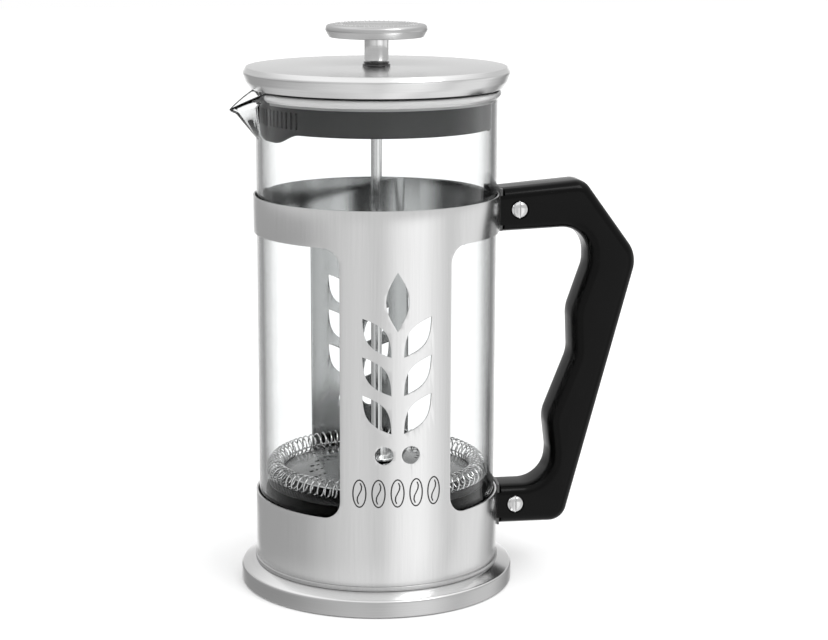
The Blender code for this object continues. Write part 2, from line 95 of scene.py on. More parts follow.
def filleted(corners: Sequence[Corner], steps: int = 5) -> list[Point]:
    """Run an outline through corners, each rounded by its own fillet.

    Args:
        corners: (x, y, fillet radius) of every corner of a closed outline.
        steps: Steps of each fillet.

    Returns:
        The outline's points.
    """
    outline: list[Point] = []
    for i, (x, y, fillet) in enumerate(corners):
        if fillet <= 0.0:
            outline.append((x, y))
            continue
        before = corners[i - 1]
        after = corners[(i + 1) % len(corners)]
        to_before = math.atan2(before[1] - y, before[0] - x)
        to_after = math.atan2(after[1] - y, after[0] - x)
        opening = (to_after - to_before + math.pi) % math.tau - math.pi
        half = abs(opening) / 2.0
        middle = to_before + opening / 2.0
        away = fillet / math.sin(half)
        centre = (x + away * math.cos(middle), y + away * math.sin(middle))
        sweep = math.copysign(math.pi - 2.0 * half, -opening)
        start = middle + math.pi - sweep / 2.0
        outline += arc(centre, fillet, math.degrees(start), math.degrees(start + sweep), steps)
    return outline


def circle(centre: Point, radius: float, steps: int) -> list[Point]:
    """Points of a closed circle, the first not repeated."""
    return arc(centre, radius, 0.0, 360.0, steps)[:-1]


def leaf(base: Point, lean_deg: float, length: float, width: float, steps: int = 10) -> list[Point]:
    """Outline of a pointed leaf.

    Args:
        base: Where it grows from.
        lean_deg: Lean from upright.
        length: Base to tip.
        width: Width at its middle.
        steps: Steps along each side.

    Returns:
        The closed outline's points.
    """
    lean = math.radians(lean_deg)
    along = Vector((math.sin(lean), math.cos(lean)))
    across = Vector((along.y, -along.x))
    outline: list[Point] = []
    for side in (1.0, -1.0):
        for i in range(steps):
            t = i / steps if side > 0 else 1.0 - i / steps
            out = side * width / 2.0 * math.sin(math.pi * t)
            spot = Vector(base) + along * length * t + across * out
            outline.append((spot.x, spot.y))
    return outline


def fade(value: float, start: float, end: float) -> float:
    """Fall smoothly from one at start to zero at end."""
    t = min(max((end - value) / (end - start), 0.0), 1.0)
    return t * t * (3.0 - 2.0 * t)


def on_circle(radius: float, turn: float, height: float) -> Vector:
    """The place at a radius, an angle in radians and a height."""
    return Vector((radius * math.cos(turn), radius * math.sin(turn), height))


def from_spout(spot: Vector) -> float:
    """Degrees round the axis from the spout's middle to a place."""
    return abs(math.degrees(math.atan2(spot.y, -spot.x)))


# ---- Modelling ----

def select_only(*pieces: Piece) -> None:
    """Select these pieces and nothing else, the first one active."""
    bpy.ops.object.select_all(action="DESELECT")
    for piece in pieces:
        piece.select_set(True)
    bpy.context.view_layer.objects.active = pieces[0]


def apply_place(piece: Piece) -> None:
    """Put a piece's place, turn and scale into its mesh."""
    select_only(piece)
    bpy.ops.object.transform_apply(location=True, rotation=True, scale=True)


def settle(piece: Piece, sharp_deg: float = 35.0) -> Piece:
    """Put a piece's place into its mesh and shade it smooth.

    Args:
        piece: The piece.
        sharp_deg: Edges that turn by more than this stay sharp.

    Returns:
        The same piece.
    """
    apply_place(piece)
    bpy.ops.object.shade_smooth_by_angle(angle=math.radians(sharp_deg))
    return piece


def close_up(piece: Piece) -> None:
    """Merge a piece's doubled points and turn its faces outwards."""
    select_only(piece)
    bpy.ops.object.mode_set(mode="EDIT")
    bpy.ops.mesh.select_all(action="SELECT")
    bpy.ops.mesh.remove_doubles(threshold=WELD)
    bpy.ops.mesh.normals_make_consistent(inside=False)
    bpy.ops.object.mode_set(mode="OBJECT")


def turned(name: str, profile: Sequence[Point], steps: int = TURN_STEPS,
           sharp_deg: float = 35.0) -> Piece:
    """Turn a profile about the upright axis: one point is extruded along it, then spun.

    Args:
        name: The piece's name.
        profile: (radius, height) points in millimetres. A profile that doesn't start on the axis
            is closed on itself.
        steps: Facets round the axis.
        sharp_deg: Edges that turn by more than this stay sharp.

    Returns:
        The turned piece.
    """
    points = [Vector((radius * MM, 0.0, height * MM)) for radius, height in profile]
    if min(point.x for point in points) > 0.0:
        points.append(points[0])
    bpy.ops.object.select_all(action="DESELECT")
    bpy.ops.mesh.primitive_plane_add(size=MM, location=points[0])
    piece = bpy.context.object
    piece.name = piece.data.name = name
    bpy.ops.object.mode_set(mode="EDIT")
    bpy.ops.mesh.merge(type="CENTER")
    for start, end in zip(points, points[1:]):
        bpy.ops.mesh.extrude_region_move(TRANSFORM_OT_translate={"value": end - start})
    bpy.ops.mesh.select_all(action="SELECT")
    bpy.ops.mesh.spin(steps=steps, angle=math.tau, center=(0.0, 0.0, 0.0),
                      axis=(0.0, 0.0, 1.0))
    bpy.ops.object.mode_set(mode="OBJECT")
    close_up(piece)
    return settle(piece, sharp_deg)


def curve_piece(name: str, curve: bpy.types.Curve) -> Piece:
    """Turn a finished curve into a piece with a closed mesh.

    Args:
        name: The piece's name.
        curve: The curve's data.

    Returns:
        The piece.
    """
    piece = bpy.data.objects.new(name, curve)
    bpy.context.scene.collection.objects.link(piece)
    select_only(piece)
    bpy.ops.object.convert(target="MESH")
    close_up(piece)
    return piece


def flat(name: str, outlines: Iterable[Sequence[Point]], thickness: float = 0.0, edge: float = 0.0,
         edge_steps: int = 5) -> Piece:
    """Fill closed outlines in the XY plane, with holes left open.

    Args:
        name: The piece's name.
        outlines: Closed outlines in millimetres.
        thickness: Thickness about z = 0.
        edge: Radius of the rounded edge, inside the outline.
        edge_steps: Steps of the rounded edge.

    Returns:
        The filled piece as a mesh.
    """
    curve = bpy.data.curves.new(name, "CURVE")
    curve.dimensions = "2D"
    curve.fill_mode = "BOTH"
    curve.extrude = max(thickness / 2.0 - edge, 0.0) * MM
    curve.bevel_depth = edge * MM
    curve.bevel_resolution = edge_steps
    curve.offset = -edge * MM
    for outline in outlines:
        spline = curve.splines.new("POLY")
        spline.points.add(len(outline) - 1)
        for point, (x, y) in zip(spline.points, outline):
            point.co = (x * MM, y * MM, 0.0, 1.0)
        spline.use_cyclic_u = True
    return curve_piece(name, curve)


def wrap(piece: Piece, radius: float, middle_deg: float, step_deg: float) -> None:
    """Roll a flat piece of (arc length, height) about the upright axis.

    It is first cut into upright strips, because a roll needs points to bend at.

    Args:
        piece: Flat piece in the XY plane, with arc length zero at its middle.
        radius: Radius of its mid-plane, in millimetres.
        middle_deg: Where arc length zero goes.
        step_deg: Width of a strip.
    """
    select_only(piece)
    low = min(vert.co.x for vert in piece.data.vertices)
    high = max(vert.co.x for vert in piece.data.vertices)
    strip = math.radians(step_deg) * radius * MM
    bpy.ops.object.mode_set(mode="EDIT")
    for i in range(math.ceil(low / strip) + 1, math.ceil(high / strip)):
        bpy.ops.mesh.select_all(action="SELECT")
        bpy.ops.mesh.bisect(plane_co=(i * strip, 0.0, 0.0), plane_no=(1.0, 0.0, 0.0))
    bpy.ops.object.mode_set(mode="OBJECT")
    for vert in piece.data.vertices:
        angle = math.radians(middle_deg) + vert.co.x / (radius * MM)
        r = radius * MM + vert.co.z
        vert.co = (r * math.cos(angle), r * math.sin(angle), vert.co.y)
    piece.data.update()
    close_up(piece)


def apply_modifier(piece: Piece, kind: str, **settings: object) -> None:
    """Add a modifier to a piece and apply it.

    Args:
        piece: The piece.
        kind: Blender's name of the modifier's type.
        settings: Its settings.
    """
    select_only(piece)
    modifier = piece.modifiers.new(kind.title(), kind)
    for key, value in settings.items():
        setattr(modifier, key, value)
    bpy.ops.object.modifier_apply(modifier=modifier.name)


def cut(piece: Piece, cutters: Sequence[Piece]) -> None:
    """Cut a piece with others, which are used up.

    Args:
        piece: The piece to cut.
        cutters: Closed shapes that don't overlap each other.
    """
    select_only(*cutters)
    if len(cutters) > 1:
        bpy.ops.object.join()
    apply_place(cutters[0])
    apply_modifier(piece, "BOOLEAN", operation="DIFFERENCE", object=cutters[0])
    bpy.data.objects.remove(cutters[0])


def drill(centre: Sequence[float], radius: float, depth: float, sides: int = 24,
          tilt: Sequence[float] = (0.0, 0.0, 0.0)) -> Piece:
    """A round cutter, sizes in millimetres, upright unless it is tilted (radians)."""
    bpy.ops.mesh.primitive_cylinder_add(vertices=sides, radius=radius * MM, depth=depth * MM,
                                        location=Vector(centre) * MM, rotation=tilt)
    return bpy.context.object


def block(centre: Sequence[float], size: Sequence[float], turn: float = 0.0) -> Piece:
    """A box cutter, sizes in millimetres, turned about Z by radians."""
    bpy.ops.mesh.primitive_cube_add(size=1.0, location=Vector(centre) * MM,
                                    rotation=(0.0, 0.0, turn), scale=Vector(size) * MM)
    return bpy.context.object


def reshape(piece: Piece, move: Callable[[Vector], Vector]) -> None:
    """Move every point of a piece.

    Args:
        piece: The piece, in place.
        move: Gives a point's new place in millimetres from its old one.
    """
    for vert in piece.data.vertices:
        vert.co = move(vert.co / MM) * MM
    piece.data.update()


def lay_along_y(piece: Piece, x: float, z: float, facing: float) -> Piece:
    """Turn a piece from upright to lie along Y.

    Args:
        piece: A piece turned about the upright axis.
        x: Where its axis goes, in millimetres.
        z: Where its axis goes, in millimetres.
        facing: -1 to face its top to -Y, 1 to +Y.

    Returns:
        The same piece.
    """
    piece.rotation_euler = (-facing * math.pi / 2.0, 0.0, 0.0)
    piece.location = Vector((x, 0.0, z)) * MM
    apply_place(piece)
    return piece


def hand_over(piece: Piece, body: str, slot: str, finish: "Finish", *nodes: str) -> None:
    """Give a finished piece its material, its body and the CAD nodes it stands for.

    Args:
        piece: The piece.
        body: The body it rides on.
        slot: The record's material slot it belongs to; not used.
        finish: Its finish.
        nodes: The CAD nodes it stands for.
    """
    piece.data.materials.clear()
    piece.data.materials.append(finish.material())
    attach(piece, body)
    if nodes:
        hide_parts(*nodes)
    log.info("%s: %d faces on %s", piece.name, len(piece.data.polygons), body)


def refinish(piece: Piece, finish: "Finish", chosen: Callable[[Face], bool]) -> None:
    """Give some of a piece's faces a second finish.

    Args:
        piece: A piece that has its first finish.
        finish: The second finish.
        chosen: Tells whether a face takes it.
    """
    piece.data.materials.append(finish.material())
    for face in piece.data.polygons:
        if chosen(face):
            face.material_index = len(piece.data.materials) - 1


def dress(node: str, finish: "Finish") -> None:
    """Give a carried-over CAD node its finish."""
    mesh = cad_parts[node].data
    mesh.materials.clear()
    mesh.materials.append(finish.material())
    log.info("%s: dressed as it is", node)


# ---- Finishes ----

def linear(code: str) -> tuple[float, float, float, float]:
    """Turn an sRGB hex colour to the linear colour that shaders take."""
    values = [int(code[i:i + 2], 16) / 255.0 for i in (1, 3, 5)]
    turned_linear = [v / 12.92 if v <= 0.04045 else ((v + 0.055) / 1.055) ** 2.4 for v in values]
    return (*turned_linear, 1.0)


def add_node(tree: Tree, kind: str, settings: dict | None = None,
             links: dict | None = None) -> Node:
    """Add a node with its settings and links.

    Args:
        tree: The node tree.
        kind: The node's type.
        settings: Values of its inputs or, by other names, of its properties.
        links: Sockets that its inputs are linked from.

    Returns:
        The node.
    """
    node = tree.nodes.new(kind)
    for key, value in (settings or {}).items():
        if isinstance(key, int) or key in node.inputs:
            node.inputs[key].default_value = value
        else:
            setattr(node, key, value)
    for key, socket in (links or {}).items():
        tree.links.new(socket, node.inputs[key])
    return node


@dataclass(frozen=True)
class Finish:
    """A named surface; each kind of finish makes its own node tree once."""

    name: str

    def material(self) -> bpy.types.Material:
        """Return the material, made the first time it is asked for."""
        made = bpy.data.materials.get(self.name)
        if made is None:
            made = bpy.data.materials.new(self.name)
            made.use_nodes = True
            tree = made.node_tree
            shader = tree.nodes["Principled BSDF"]
            self.paint(tree, shader)
        return made

    def paint(self, tree: Tree, shader: Node) -> None:
        """Set the shader and add the pattern nodes."""
        raise NotImplementedError

    def pattern(self, tree: Tree, size_mm: float, detail: float = 2.0) -> Socket:
        """Even noise of one grain size.

        Args:
            tree: The node tree.
            size_mm: Size of a grain.
            detail: Detail of the noise.

        Returns:
            The noise's height socket.
        """
        coords = add_node(tree, "ShaderNodeTexCoord").outputs["Object"]
        noise = add_node(tree, "ShaderNodeTexNoise",
                         {"Scale": 1.0 / (size_mm * MM), "Detail": detail}, {"Vector": coords})
        return noise.outputs["Fac"]

    def spread(self, tree: Tree, height: Socket, low: float, high: float) -> Socket:
        """Map a pattern's middle range to values from low to high."""
        node = add_node(tree, "ShaderNodeMapRange",
                        {"From Min": 0.3, "From Max": 0.7, "To Min": low, "To Max": high},
                        {"Value": height})
        return node.outputs["Result"]

    def relief(self, tree: Tree, shader: Node, height: Socket, depth_mm: float) -> None:
        """Raise a pattern by a real depth and send it to the shader's normal."""
        bump = add_node(tree, "ShaderNodeBump", {"Strength": 1.0, "Distance": depth_mm * MM},
                        {"Height": height})
        tree.links.new(bump.outputs["Normal"], shader.inputs["Normal"])

    def tint(self, tree: Tree, shader: Node, factor: Socket, dark: str, light: str) -> None:
        """Mix two colours by a pattern and send them to the base colour."""
        mix = add_node(tree, "ShaderNodeMix", {"data_type": "RGBA"}, {0: factor})
        mix.inputs[6].default_value = linear(dark)
        mix.inputs[7].default_value = linear(light)
        tree.links.new(mix.outputs[2], shader.inputs["Base Color"])


@dataclass(frozen=True)
class BrushedSteel(Finish):
    """Stainless steel drawn over an abrasive belt or lapped on a lathe.

    The lines are about a tenth of a millimetre apart on the real sheet; they are drawn a little
    coarser, so that they still show as a soft silky grain.
    """

    grain: Grain
    dark: str = "#dfdfdf"
    light: str = "#e4e4e4"
    smooth_rough: tuple[float, float] = (0.235, 0.26)
    line_mm: float = 0.35
    line_length: float = 70.0
    line_depth_mm: float = 0.0004
    detail: float = 3.0

    def paint(self, tree: Tree, shader: Node) -> None:
        """Stretch a noise along the grain for colour, roughness and relief."""
        shader.inputs["Metallic"].default_value = 1.0
        coords = add_node(tree, "ShaderNodeTexCoord").outputs["Object"]
        fine = 1.0 / (self.line_mm * MM)
        slow = fine / self.line_length
        if self.grain is Grain.UPRIGHT:
            run = add_node(tree, "ShaderNodeMapping", {"Scale": (fine, fine, slow)},
                           {"Vector": coords}).outputs["Vector"]
        else:
            across = add_node(tree, "ShaderNodeVectorMath",
                              {"operation": "MULTIPLY", 1: (1.0, 1.0, 0.0)}, {0: coords})
            radius = add_node(tree, "ShaderNodeVectorMath", {"operation": "LENGTH"},
                              {0: across.outputs["Vector"]})
            height = add_node(tree, "ShaderNodeSeparateXYZ", {}, {0: coords})
            rings = add_node(tree, "ShaderNodeCombineXYZ", {},
                             {"X": radius.outputs["Value"], "Y": height.outputs["Z"]})
            ring_run = add_node(tree, "ShaderNodeVectorMath",
                                {"operation": "SCALE", "Scale": fine},
                                {0: rings.outputs["Vector"]})
            round_run = add_node(tree, "ShaderNodeVectorMath",
                                 {"operation": "MULTIPLY_ADD", 1: (slow, slow, 0.0)},
                                 {0: coords, 2: ring_run.outputs["Vector"]})
            run = round_run.outputs["Vector"]
        lines = add_node(tree, "ShaderNodeTexNoise", {"Scale": 1.0, "Detail": self.detail},
                         {"Vector": run}).outputs["Fac"]
        self.tint(tree, shader, self.spread(tree, lines, 0.0, 1.0), self.dark, self.light)
        tree.links.new(self.spread(tree, lines, *self.smooth_rough), shader.inputs["Roughness"])
        self.relief(tree, shader, lines, self.line_depth_mm)


@dataclass(frozen=True)
class PolishedSteel(Finish):
    """Buffed stainless steel: a near mirror, with faint smears left by the buffing wheel; with a
    dark second colour they are clouds of painted reflection.
    """

    colour: str = "#e0e0e0"
    worn_and_shade: str = "#d4d4d4"
    roughness: tuple[float, float] = (0.08, 0.16)
    smear_and_shade_mm: float = 2.5
    smear_depth_mm: float = 0.0002

    def paint(self, tree: Tree, shader: Node) -> None:
        """Vary colour and roughness with soft smears, which with a dark second colour are painted
        reflections.
        """
        shader.inputs["Metallic"].default_value = 1.0
        smears_and_shade = self.pattern(tree, self.smear_and_shade_mm, 4.0)
        self.tint(tree, shader, smears_and_shade, self.worn_and_shade, self.colour)
        tree.links.new(self.spread(tree, smears_and_shade, *self.roughness), shader.inputs["Roughness"])
        self.relief(tree, shader, self.pattern(tree, self.smear_and_shade_mm, 0.0), self.smear_depth_mm)


@dataclass(frozen=True)
class Moulding(Finish):
    """Injection-moulded plastic, with the fine orange peel that the mould leaves."""

    dark: str = "#060606"
    light: str = "#0a0a0a"
    roughness: tuple[float, float] = (0.16, 0.22)
    peel_mm: float = 0.9
    peel_depth_mm: float = 0.003
    gloss: float = 0.12
    flow_mm: float = 14.0

    def paint(self, tree: Tree, shader: Node) -> None:
        """Give a slight peel, and a slow change of colour where the plastic flowed."""
        shader.inputs["Specular IOR Level"].default_value = self.gloss
        peel = self.pattern(tree, self.peel_mm, 3.0)
        flow = self.pattern(tree, self.flow_mm)
        self.tint(tree, shader, flow, self.dark, self.light)
        tree.links.new(self.spread(tree, peel, *self.roughness), shader.inputs["Roughness"])
        self.relief(tree, shader, peel, self.peel_depth_mm)


@dataclass(frozen=True)
class Borosilicate(Finish):
    """Drawn borosilicate glass: clear, hardly tinted, with very slow waves from the drawing.

    Seen edge on, where the light crosses much of it, its colour is darkened from colour to edge:
    painted shade.
    """

    colour: str = "#fdfefe"
    shade: str = "#f0f2f2"        # what its shadow lets through
    clear: float = 1.0
    face_gloss: str = "#404040"   # dims the reflections on its faces
    # painted shade: the colour it darkens to where it is seen edge on
    edge: str = "#606060"
    edge_facing: tuple[float, float] = (0.51, 0.9)
    refraction: float = 1.474
    wave_mm: float = 30.0
    wave_depth_mm: float = 0.006

    def paint(self, tree: Tree, shader: Node) -> None:
        """Clear glass that lets light through to what it shades."""
        facing = add_node(tree, "ShaderNodeLayerWeight", {"Blend": 0.5})
        grazing = add_node(tree, "ShaderNodeMapRange",
                           {"From Min": self.edge_facing[0], "From Max": self.edge_facing[1]},
                           {"Value": facing.outputs["Facing"]})
        # Painted shade: darken the colour towards the edge colour where the glass is seen edge on.
        self.tint(tree, shader, grazing.outputs["Result"], self.colour, self.edge)
        shader.inputs["Roughness"].default_value = 0.0
        shader.inputs["IOR"].default_value = self.refraction
        shader.inputs["Specular Tint"].default_value = linear(self.face_gloss)
        shader.inputs["Transmission Weight"].default_value = self.clear
        self.relief(tree, shader, self.pattern(tree, self.wave_mm, 0.0), self.wave_depth_mm)
        light_path = add_node(tree, "ShaderNodeLightPath")
        clear = add_node(tree, "ShaderNodeBsdfTransparent", {"Color": linear(self.shade)})
        mix = add_node(tree, "ShaderNodeMixShader", {},
                       {0: light_path.outputs["Is Shadow Ray"], 1: shader.outputs["BSDF"],
                        2: clear.outputs["BSDF"]})
        tree.links.new(mix.outputs["Shader"], tree.nodes["Material Output"].inputs["Surface"])


@dataclass(frozen=True)
class WovenWire(Finish):
    """Plain-woven stainless cloth.

    Its real wires are a few tenths of a millimetre apart; they are drawn at 0.9 mm, coarse enough
    to show as a weave.
    """

    pitch_mm: float = 0.9
    depth_mm: float = 0.15
    # painted shade in the openings between the wires
    gap_shade: str = "#0c0c0c"
    wire: str = "#444444"
    roughness: float = 0.35
    waves_per_unit: float = 0.31416   # scale at which a wave texture repeats once a unit

    def paint(self, tree: Tree, shader: Node) -> None:
        """Cross two bands of wires over the dark gaps, painted shade for the openings into the dark
        space below.
        """
        shader.inputs["Metallic"].default_value = 1.0
        shader.inputs["Roughness"].default_value = self.roughness
        coords = add_node(tree, "ShaderNodeTexCoord").outputs["Object"]
        bands = []
        for direction in ("X", "Y"):
            wave = add_node(tree, "ShaderNodeTexWave",
                            {"bands_direction": direction,
                             "Scale": self.waves_per_unit / (self.pitch_mm * MM)},
                            {"Vector": coords})
            bands.append(wave.outputs["Fac"])
        over = add_node(tree, "ShaderNodeMath", {"operation": "MAXIMUM"},
                        {0: bands[0], 1: bands[1]})
        self.tint(tree, shader, over.outputs["Value"], self.gap_shade, self.wire)
        self.relief(tree, shader, over.outputs["Value"], self.depth_mm)


# Drawn over a belt: fine upright lines that blur what they mirror into soft upright bands.
SLEEVE_STEEL = BrushedSteel("brushed_stainless_sheet", Grain.UPRIGHT)
# Inner face and cut top edge of the sheet, never brushed: broad bands, the dark ones painted shade
# and painted reflection.
INNER_FACE_SHADE_STEEL = BrushedSteel("inner_face_painted_shade", Grain.UPRIGHT, "#6a6a6a", "#dadada",
                            (0.18, 0.24), 13.0, 25.0, 0.001, 0.3)
# Lapped on the lathe: fine rings, and a calm sheen that sweeps round the lid.
SPUN_STEEL = BrushedSteel("lapped_stainless_steel", Grain.ROUND, "#dcdcdc", "#e2e2e2",
                          (0.19, 0.22), 0.3, 90.0, 0.0004)
# Pressed and lapped more coarsely: greyer, with wider highlights.
FOOT_STEEL = BrushedSteel("pressed_satin_steel", Grain.ROUND, "#c2c2c2", "#c9c9c9",
                          (0.28, 0.32), 0.3, 90.0, 0.0005)
# As it comes from the mill: dull and slightly streaky.
PLAIN_STEEL = BrushedSteel("mill_finish_steel", Grain.UPRIGHT, "#bebebe", "#cccccc", (0.32, 0.42),
                           0.5, 8.0, 0.004)
# Folded and tumbled: the mill's streaks, on a darker grey.
BRACKET_STEEL = BrushedSteel("folded_bracket_steel", Grain.UPRIGHT, "#5c5c5c", "#707070",
                             (0.25, 0.35), 0.5, 8.0, 0.002)
# Buffed on a wheel: almost a mirror, a little cloudy.
BRIGHT_STEEL = PolishedSteel("buffed_stainless_steel")
# Turned, then polished: sharp upright highlights with no clouds in them.
NECK_STEEL = BrushedSteel("satin_turned_steel", Grain.ROUND, "#dadada", "#e6e6e6",
                          (0.08, 0.12), 0.5, 90.0, 0.0004)
# Pressed and buffed: a mirror with wide dark clouds, painted reflections of the dark parts above
# it.
PLATE_STEEL = PolishedSteel("filter_plate_painted_reflections", "#b8b8b8", "#2c2c2c", (0.1, 0.18), 12.0)
# Drawn through a die: bright, with short faint marks.
SPRING_WIRE = PolishedSteel("drawn_spring_wire", "#e2e2e2", "#c8c8c8", (0.1, 0.2), 0.8)
# Etched and left dark: a flat grey line that hardly shines.
ETCHED_MARK = BrushedSteel("etched_line_oxide", Grain.UPRIGHT, "#3c3c3c", "#4c4c4c", (0.4, 0.5))
# Moulded in a polished tool: deep black, with narrow clean highlights.
HANDLE_PLASTIC = Moulding("gloss_black_moulding", "#040404", "#080808", (0.12, 0.18), gloss=0.12)
# Nylon from a spark-eroded tool: an even matt grey.
NYLON_GREY = Moulding("grey_nylon_moulding", "#3e3e3e", "#484848", (0.38, 0.5), 0.6, 0.006, 0.3)
# Acetal, polished after turning: dark grey with a waxy shine.
BUSH_GREY = Moulding("polished_acetal", "#242424", "#2e2e2e", (0.1, 0.16), 0.6, 0.001, 1.0)
# Black nylon from the same kind of tool: matt, nearly without highlights; the seat is a real part,
# its black lining and tabs painted shade.
SEAT_SHADE_BLACK = Moulding("black_seat_painted_shade", "#030303", "#070707", (0.35, 0.45), 0.6, 0.01, 0.1)
# Rubber pressed in a rough tool: no shine at all.
FOOT_RUBBER = Moulding("moulded_rubber", "#141414", "#1f1f1f", (0.7, 0.85), 0.5, 0.03)
# Drawn glass: clear, with painted shade in its colour where it is seen edge on.
BEAKER_GLASS = Borosilicate("borosilicate_glass")
# The rim, melted round by a flame: half clear, half a white diffuse colour, a painted highlight for
# the bright lines of thick glass.
RIM_GLASS = Borosilicate("rim_painted_highlight", "#f4f4f4", clear=0.5, face_gloss="#d0d0d0")
# Woven wire: grey threads over dark gaps of painted shade.
WIRE_CLOTH = WovenWire("woven_wire_cloth")


# ---- The frame: sleeve, foot and seat ----

@dataclass
class SteelFrame:
    """Rolled sleeve with its windows and cut-outs, the foot under it and the seat inside it."""

    sleeve_r: float = 48.9
    sheet: float = 0.7
    bottom: float = 10.9
    top: float = 158.3
    window_bottom: float = 37.6
    window_top: float = 143.7
    window_corner: float = 7.0
    panel_half_deg: float = 26.3
    seam_deg: float = 67.5
    foot_r: float = 55.1
    seat_wall: tuple[float, float] = (47.87, 48.1)
    seat_wall_top: float = 37.4
    seat_tab_top: float = 48.0
    seat_tab_half_deg: float = 21.0
    seat_tab_fade_deg: float = 3.0
    easing: float = 0.12
    top_leaf: Corner = (112.0, 23.0, 9.0)     # height of its base, length, width
    side_leaf: Point = (19.0, 8.0)            # length, width
    leaf_rows: tuple[float, ...] = (72.0, 87.0, 102.0)
    leaf_off: float = 2.4
    leaf_lean_deg: float = 36.0
    berry: Corner = (5.2, 63.5, 3.6)          # off the middle, height, radius
    bean_size: tuple[float, float] = (5.6, 11.4)
    bean_pitch: float = 7.4
    bean_line: float = 0.55
    bean_z: float = 48.5

    def build(self) -> None:
        """Build the sleeve, its marks, the foot and the seat."""
        self.sleeve()
        self.bean_marks()
        self.foot()
        self.seat()

    def sprig(self, middle: float) -> list[list[Point]]:
        """Outlines of a panel's cut-out: a sprig of leaves over two berries."""
        top_base, *top_size = self.top_leaf
        outlines = [leaf((middle, top_base), 0.0, *top_size)]
        for height in self.leaf_rows:
            for side in (-1.0, 1.0):
                outlines.append(leaf((middle + side * self.leaf_off, height),
                                     side * self.leaf_lean_deg, *self.side_leaf))
        berry_off, berry_z, berry_r = self.berry
        for side in (-1.0, 1.0):
            outlines.append(circle((middle + side * berry_off, berry_z), berry_r, 28))
        return outlines

    def sleeve(self) -> None:
        """Cut the flat blank, roll it up, give it its thickness and ease its edges."""
        radius = self.sleeve_r - self.sheet / 2.0
        per_deg = radius * math.radians(1.0)
        half_turn = 180.0 * per_deg
        start = self.seam_deg + 180.0
        outlines: list[Sequence[Point]] = [[(-half_turn, self.bottom), (half_turn, self.bottom),
                                            (half_turn, self.top), (-half_turn, self.top)]]
        for facing in (180.0, 360.0):
            middle = (facing - start) * per_deg
            half = (90.0 - self.panel_half_deg) * per_deg
            outlines.append(filleted([
                (middle - half, self.window_bottom, self.window_corner),
                (middle + half, self.window_bottom, self.window_corner),
                (middle + half, self.window_top, self.window_corner),
                (middle - half, self.window_top, self.window_corner)], 8))
        for facing in (90.0, 270.0):
            outlines += self.sprig((facing - start) * per_deg)
        piece = flat("frame_sleeve_sheet", outlines)
        wrap(piece, radius, start, 2.0)
        apply_modifier(piece, "SOLIDIFY", thickness=self.sheet * MM, offset=0.0)
        apply_modifier(piece, "BEVEL", width=self.easing * MM, segments=2, limit_method="ANGLE",
                       angle_limit=math.radians(50.0))
        hand_over(settle(piece, 30.0), "frame", "brushed_frame", SLEEVE_STEEL, "frame_sleeve")
        # Inner faces and top edge take dark bands: painted shade and painted reflections of the
        # dark handle and room.
        refinish(piece, INNER_FACE_SHADE_STEEL, self.takes_painted_inner_shade)

    def takes_painted_inner_shade(self, face: Face) -> bool:
        """Tell whether a face of the sleeve looks inwards or is the cut edge at its top: the faces
        that take painted shade.
        """
        outwards = face.normal.xy.dot(face.center.xy) / face.center.xy.length
        top_edge = face.normal.z > 0.7 and face.center.z > (self.top - 0.5) * MM
        return outwards < -0.5 or top_edge

    def bean_marks(self) -> None:
        """A row of coffee beans in etched outline, low on the front panel."""
        width, height = self.bean_size
        line = self.bean_line
        outlines: list[Sequence[Point]] = []
        for i in range(-2, 3):
            middle = i * self.bean_pitch
            outlines += [self.bean(middle, width, height),
                         self.bean(middle, width - 2.0 * line, height - 2.0 * line),
                         self.groove(middle)]
        piece = flat("bean_marks", outlines)
        wrap(piece, self.sleeve_r + 0.02, 270.0, 2.0)
        apply_modifier(piece, "SOLIDIFY", thickness=0.05 * MM, offset=0.0)
        hand_over(settle(piece, 30.0), "frame", "brushed_frame", ETCHED_MARK)

    def bean(self, middle: float, width: float, height: float) -> list[Point]:
        """Oval outline of a bean."""
        return [(middle + x * width / 2.0, self.bean_z + y * height / 2.0)
                for x, y in circle((0.0, 0.0), 1.0, 28)]

    def groove(self, middle: float, length: float = 8.4, sway: float = 0.9,
               sway_deg: float = 37.5, steps: int = 6) -> list[Point]:
        """Outline of the wavy groove down a bean.

        Args:
            middle: Where the bean's middle is.
            length: The groove's height.
            sway: How far it sways to each side.
            sway_deg: Phase of the sway for each millimetre of height.
            steps: Steps along each side.

        Returns:
            The closed outline's points.
        """
        outline: list[Point] = []
        for side in (1.0, -1.0):
            for i in range(steps + 1):
                rise = side * (i / steps - 0.5) * length
                wave = sway * math.sin(math.radians(rise * sway_deg))
                outline.append((middle + side * self.bean_line / 2.0 + wave, self.bean_z + rise))
        return outline

    def foot(self) -> None:
        """Turn the pan under the sleeve, the pressed foot and the pad under it."""
        pan = turned("base_pan_disc", [(0.0, 10.85), (49.1, 10.85), (49.4, 10.65), (49.5, 10.2),
                                       (49.5, 9.5), (49.3, 9.2), (0.0, 9.2)])
        hand_over(pan, "frame", "brushed_frame", PLAIN_STEEL, "base_pan")
        ring = turned("foot_ring", filleted([
            (44.0, 9.1, 0.0), (49.2, 9.1, 1.2), (self.foot_r, 7.0, 1.5), (self.foot_r, 0.45, 0.35),
            (53.9, 0.45, 0.3), (53.9, 6.1, 1.2), (48.8, 7.9, 0.8), (44.0, 7.9, 0.0)], 6))
        hand_over(ring, "frame", "satin_steel", FOOT_STEEL, "base_ring")
